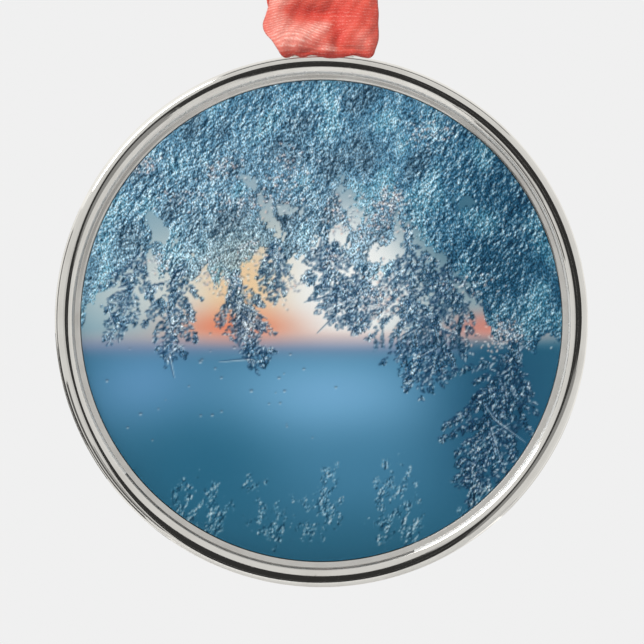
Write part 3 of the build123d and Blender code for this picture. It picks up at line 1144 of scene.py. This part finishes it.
# The lower end of the loop, listed along the ribbon from the front join, down, under the
# staple's bar and up to the back join: y, z, left edge, right edge, depth of the gathers
LOWER_RUN = (
    (-1.66, -58.0, -6.35, 6.35, 0.0), (-1.68, -59.5, -6.35, 6.35, 0.0), (-1.75, -62.5, -6.35, 6.35, 0.0),
    (-1.90, -65.5, -6.3, 6.35, 0.0), (-2.10, -68.3, -6.1, 6.3, 0.0), (-2.30, -70.6, -5.75, 6.2, 0.0),
    (-2.42, -72.3, -5.8, 6.25, 0.0), (-2.50, -73.6, -6.15, 6.35, 0.0), (-2.60, -74.7, -6.5, 6.3, 0.02),
    (-2.80, -75.7, -6.25, 6.35, 0.04), (-3.0, -76.6, -5.5, 6.3, 0.06), (-3.02, -77.5, -4.9, 6.0, 0.08),
    (-2.66, -78.22, -4.35, 5.65, 0.12), (-2.1, -78.08, -3.6, 4.6, 0.2), (-1.45, -77.6, -2.8, 3.2, 0.3),
    (-0.7, -77.1, -2.5, 2.55, 0.38), (0.1, -76.9, -2.4, 2.4, 0.4), (0.9, -76.75, -2.6, 2.5, 0.36),
    (1.55, -76.2, -3.4, 3.3, 0.24), (1.95, -75.2, -4.6, 4.4, 0.14), (2.15, -73.8, -5.5, 5.4, 0.08),
    (2.2, -71.8, -6.1, 6.0, 0.04), (2.1, -69.2, -6.3, 6.3, 0.0), (1.95, -66.0, -6.35, 6.35, 0.0),
    (1.75, -62.5, -6.35, 6.35, 0.0), (1.68, -59.5, -6.35, 6.35, 0.0), (1.66, -58.0, -6.35, 6.35, 0.0),
)
HEM_ROW = 12  # where the front face turns under


# Folds of the lower end, each a slanted oval: how far it is pushed back in millimetres, x, z,
# half width, half height and tilt in degrees
FRONT_FOLDS = (
    (0.8, -0.2, -73.6, 2.3, 0.95, -6), (0.4, 1.5, -72.2, 1.0, 1.5, 0),  # hollow over the bulge
    (-0.55, -1.6, -76.2, 2.8, 1.5, 8), (-0.35, -4.4, -73.4, 1.3, 1.7, 0),  # bulge and left side
    (0.4, 1.95, -75.9, 0.7, 1.9, -4), (-0.45, 4.2, -75.2, 1.5, 2.4, 0),  # valley and right side
    (-0.25, 0.3, -77.75, 1.35, 0.32, 2),  # hem
    (0.3, -1.6, -77.9, 0.8, 0.22, 12), (0.2, 3.4, -77.5, 1.6, 0.28, -6),  # creases along the hem
)
BACK_FOLDS = (
    (0.7, -1.2, -73.0, 1.6, 2.0, 12), (0.45, 2.8, -74.6, 1.0, 2.2, -10), (-0.3, 0.8, -75.0, 1.0, 1.2, 0),
)

# Painted highlight (1) and painted shade (-1) laid into the front's satin colour, where it shines and where
# its folds swallow the light, in the same way
FRONT_PAINTED_GLEAMS = (
    (1.0, -2.6, -76.1, 2.7, 1.25, 14), (0.75, 0.4, -74.9, 1.7, 0.7, 22),  # bulge
    (0.62, -4.9, -74.4, 1.5, 2.6, 0), (0.7, -4.6, -72.2, 1.5, 0.8, 0),  # left side
    (0.9, 1.0, -77.6, 1.2, 0.5, 0), (0.35, 4.6, -76.6, 1.0, 1.4, 0),  # hem
    (-1.0, -1.6, -73.4, 2.6, 0.75, -10), (-0.6, 1.4, -72.8, 1.8, 1.2, 0),  # hollow
    (-1.1, 1.9, -76.0, 0.75, 1.7, 12), (-0.5, 3.4, -73.6, 2.2, 1.2, 0),  # valley
    (-1.7, 0.6, -78.3, 6.0, 0.3, 0),  # underside
)


def humps(table, x, z):
    """The sum of a table's ovals at some places."""
    return sum(height * hump(x, z, *oval) for height, *oval in table)


def front_relief(x, z):
    """How far the front face of the lower end is pushed back, in millimetres."""
    tucks = 0.09 * np.sin(2.6 * x + 1.1 * z) * smooth(-z, 74.5, 77.5)
    tucks = tucks + 0.05 * np.sin(3.9 * x - 2.3 * z + 0.8 * np.sin(1.7 * z)) * smooth(-z, 70, 73)
    curl = 0.9 * smooth(-x, 4.6, 6.7) + 0.55 * smooth(x, 5.2, 6.7)
    return (humps(FRONT_FOLDS, x, z) + tucks + curl) * smooth(-z, 66, 72)


def back_relief(x, z):
    """The same for the back face, pushed forward."""
    return (humps(BACK_FOLDS, x, z) + 0.6 * smooth(np.abs(x), 5.0, 6.6)) * smooth(-z, 66, 72)


def ribbon_lower(material):
    """Both faces of the loop's lower end, gathered through the staple."""
    at, along, row = evenly(LOWER_RUN, [0, 1], 0.13)
    across = np.linspace(0, 1, 73)
    y, z, left, right, depth = (row[:, i:i + 1] for i in range(5))
    x = left + (right - left) * across
    slope = np.gradient(row[:, :2], axis=0)
    slope /= np.linalg.norm(slope, axis=1)[:, None]
    gathers = np.cos(2 * np.pi * (3.4 * across + 0.35 * np.sin(5 * across))) * depth
    y = y + gathers * slope[:, 1:2]
    z = z - gathers * slope[:, 0:1]
    front = 1 - smooth(at, HEM_ROW - 0.3, HEM_ROW + 1.2)[:, None]
    back = smooth(at, HEM_ROW + 6, HEM_ROW + 8)[:, None]
    y = y + front * front_relief(x, z) - back * back_relief(x, z)
    dip = 0.16 * hump(x, z, 1.3, -78.1, 1.6, 0.7) - 0.10 * hump(x, z, -2.4, -78.1, 1.0, 0.7)
    z = z - front * dip
    shear = 0.52 * np.clip(x, -4.2, 1.8) * hump(x, z, -1.0, -75.7, 3.6, 1.7) * front
    shear = shear - 0.35 * hump(x, z, -1.0, -73.0, 3.0, 1.2) * np.abs(x + 1.0) * front
    v = along[:, None] - shear + 0.10 * np.sin(0.9 * x + along[:, None] * 0.35)
    obj = cloth("ribbon_lower", (x, y, z), (across * RIBBON_W_MM, v), material)
    place = np.empty(3 * len(obj.data.vertices))
    obj.data.vertices.foreach_get("co", place)
    px, py, pz = (place.reshape(-1, 3) / MM).T
    # painted highlight and painted shade for the satin's colour, on the front face only
    painted_gleam = np.clip(humps(FRONT_PAINTED_GLEAMS, px, pz), -1, 1) * smooth(-py, 0.4, 1.2)
    obj.data.attributes.new("painted_gleam", "FLOAT", "POINT").data.foreach_set("value", painted_gleam.astype(np.float32))
    return obj


INSIDE_KNOT_MM = 1.6  # how far the strands run up into the knot


def ribbon_upper(material):
    """The two strands from the lower end to the knot, gathered as they reach it."""
    strands = []
    z = np.linspace(JOIN_Z_MM, INSIDE_KNOT_MM, 232)[:, None]
    across = np.linspace(-1, 1, STRAND_COLUMNS)[None, :]
    taper = smooth(z, -TAPER_H_MM - 4, 0.5)
    width = RIBBON_W_MM + (NECK_W_MM - RIBBON_W_MM) * taper
    width = width - 0.45 * NECK_W_MM * smooth(z, -2.2, 0.8)
    free = smooth(z, JOIN_Z_MM, JOIN_Z_MM + 12)
    for side, phase in ((-1, 0.4), (1, 2.1)):
        x = across * width / 2
        wave = 0.30 * np.sin(z / 7.5 + phase) + 0.16 * np.sin(z / 3.1 + 2 * phase + across)
        cup = 0.45 * across**2 * np.cos(z / 11 + phase)
        gathers = 0.26 * taper**2 * np.cos(2 * np.pi * (2.2 * across + 0.2 * np.sin(4 * across + phase)))
        y = side * strand_y(z) + free * (1 - 0.8 * taper) * (wave + cup) + gathers
        y = side * np.maximum(side * y, CLOTH_T_MM * 0.75)
        u = (across + 1) / 2 * RIBBON_W_MM
        v = z + 100 + 0.12 * np.sin(across * 2 + z / 6)
        strands.append(cloth("strand", (x, y, z), (u, v), material))
    return joined("ribbon_upper", strands)


def strand_y(z):
    """How far a strand of the loop lies from the middle plane."""
    low = FOOT_Y_MM + (SPREAD_Y_MM - FOOT_Y_MM) * (z - FOOT_Z_MM) / (TWIST_Z_MM - FOOT_Z_MM)
    high = NECK_Y_MM + (SPREAD_Y_MM - NECK_Y_MM) * z / TWIST_Z_MM
    return np.where(z < TWIST_Z_MM, low, high)


KNOT_PATH_MM = np.array([0.50, 0.95, 0.46])  # size of the knot's path, right, back and up
BAND_HALF_W_MM = 1.55
BAND_HALF_T_MM = 0.80


def ribbon_knot(material):
    """An overhand knot of the doubled ribbon: a flattened, pleated band run in a trefoil."""
    middle_z = (KNOT_LOW.z + KNOT_HIGH.z) / 2 / MM
    half_w = (KNOT_HIGH.x - KNOT_LOW.x) / 2 / MM
    half_h = (KNOT_HIGH.z - KNOT_LOW.z) / 2 / MM
    turn = np.linspace(0, 2 * np.pi, 260, endpoint=False)
    path = np.stack([
        np.sin(turn) + 2 * np.sin(2 * turn),
        -1.15 * np.sin(3 * turn),
        np.cos(turn) - 2 * np.cos(2 * turn),
    ], -1)
    path *= KNOT_PATH_MM
    tangent = np.roll(path, -1, 0) - np.roll(path, 1, 0)
    tangent /= np.linalg.norm(tangent, axis=1)[:, None]
    outward = path / (np.linalg.norm(path, axis=1)[:, None] + 1e-9)
    side = np.cross(tangent, outward)
    side /= np.linalg.norm(side, axis=1)[:, None]
    up = np.cross(side, tangent)
    sides = 72
    round_ = np.linspace(0, 2 * np.pi, sides, endpoint=False)[None, :]
    pleat = 1 + 0.11 * np.cos(9 * round_ + 2 * np.sin(turn)[:, None]) + 0.04 * np.cos(17 * round_)
    wide = BAND_HALF_W_MM * np.cos(round_) * pleat
    thick = BAND_HALF_T_MM * np.sin(round_) * pleat
    points = path[:, None, :] + wide[..., None] * side[:, None, :] + thick[..., None] * up[:, None, :]
    reach = np.abs(points).max((0, 1))
    points *= np.array([half_w, half_w, half_h]) / np.maximum(reach, [half_w, half_w, half_h])
    points[..., 2] += middle_z
    mesh = mesh_from_grid("ribbon_knot", points, wrap_rows=True, wrap_columns=True)
    run = np.cumsum(np.linalg.norm(np.roll(path, -1, 0) - path, axis=1))[:, None]
    u = np.broadcast_to(round_ * 1.3, points.shape[:2])
    v = np.broadcast_to(run, points.shape[:2])
    add_uv(mesh, u.ravel(), v.ravel())
    return link("ribbon_knot", mesh, material)


def ribbon_tail(side, material):
    """A free end above the knot: to the front and left (-1) or to the back and right (+1)."""
    along = np.linspace(0, 1, 130)[:, None]
    across = np.linspace(-1, 1, STRAND_COLUMNS)[None, :]
    spread = smooth(along, 0.0, 0.42)
    width = NECK_W_MM * 0.52 + (RIBBON_W_MM - NECK_W_MM * 0.52) * spread
    lean = math.radians(TAIL_LEAN_DEG) * (0.55 + 0.65 * along)
    splay = math.radians(TAIL_SPLAY_DEG) * (0.7 + 0.4 * along)
    end = TAIL_L_MM - TAIL_SLANT_MM * (0.5 - 0.5 * across)
    run = along * end
    cup = (0.9 - 0.5 * along) * across**2 * spread + 0.30 * np.sin(5.2 * along + side) * across
    gathers = 0.34 * (1 - spread) * np.cos(2 * np.pi * (1.9 * across + 0.15 * side))
    x = across * width / 2 + side * run * np.sin(splay)
    y = side * (0.8 + run * np.sin(lean)) - side * cup * 0.8 + gathers
    sideways = across * np.sin(splay) * width / 2 * side * 0.6
    z = (KNOT_HIGH.z / MM - TAIL_ROOT_MM) + run * np.cos(lean) * np.cos(splay) - sideways
    name = "ribbon_tail_left" if side < 0 else "ribbon_tail_right"
    return cloth(name, (x, y, z), ((across + 1) / 2 * RIBBON_W_MM, run + 7 * side), material)


studio()
camera()
silver = polished_silver()
bezel_piece = bezel(silver, dull_silver(), dark_groove_silver(), groove_silver())
bezel_piece.visible_shadow = False  # keeps the picture evenly lit right up to the lip
lens_piece = lens(clear_acrylic())
picture_piece = picture_disc(printed_paper())
picture_piece.visible_glossy = False  # keeps its blue out of the rim's reflections
for piece, node, slot in (
    (bezel_piece, "bezel_frame", "silver_frame"),
    (lens_piece, "clear_lens", "clear_lens"),
    (picture_piece, "print_disc", "picture"),
    (plate(brushed_silver()), "back_plate", "silver_back"),
    (hanger(silver), "hanger_loop", "silver_wire"),
):
    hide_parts(node)
    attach(piece, "medallion")
pad = frame["nodes"]["backing_pad"]
pad.data.materials.clear()
pad.data.materials.append(grey_board())

coral = satin()
lower = ribbon_lower(coral)
lower.visible_glossy = False  # keeps the ribbon out of the rim's reflections
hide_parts("ribbon_front_lower", "ribbon_back_lower", "ribbon_bight")
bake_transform(lower)
upper = ribbon_upper(coral)
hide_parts("ribbon_front_upper", "ribbon_back_upper")
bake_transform(upper)
knot = ribbon_knot(coral)
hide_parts("ribbon_knot")
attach(knot, "ribbon_loop")
for side, node in ((-1, "ribbon_tail_front"), (1, "ribbon_tail_back")):
    tail = ribbon_tail(side, coral)
    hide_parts(node)
    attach(tail, "ribbon_loop")
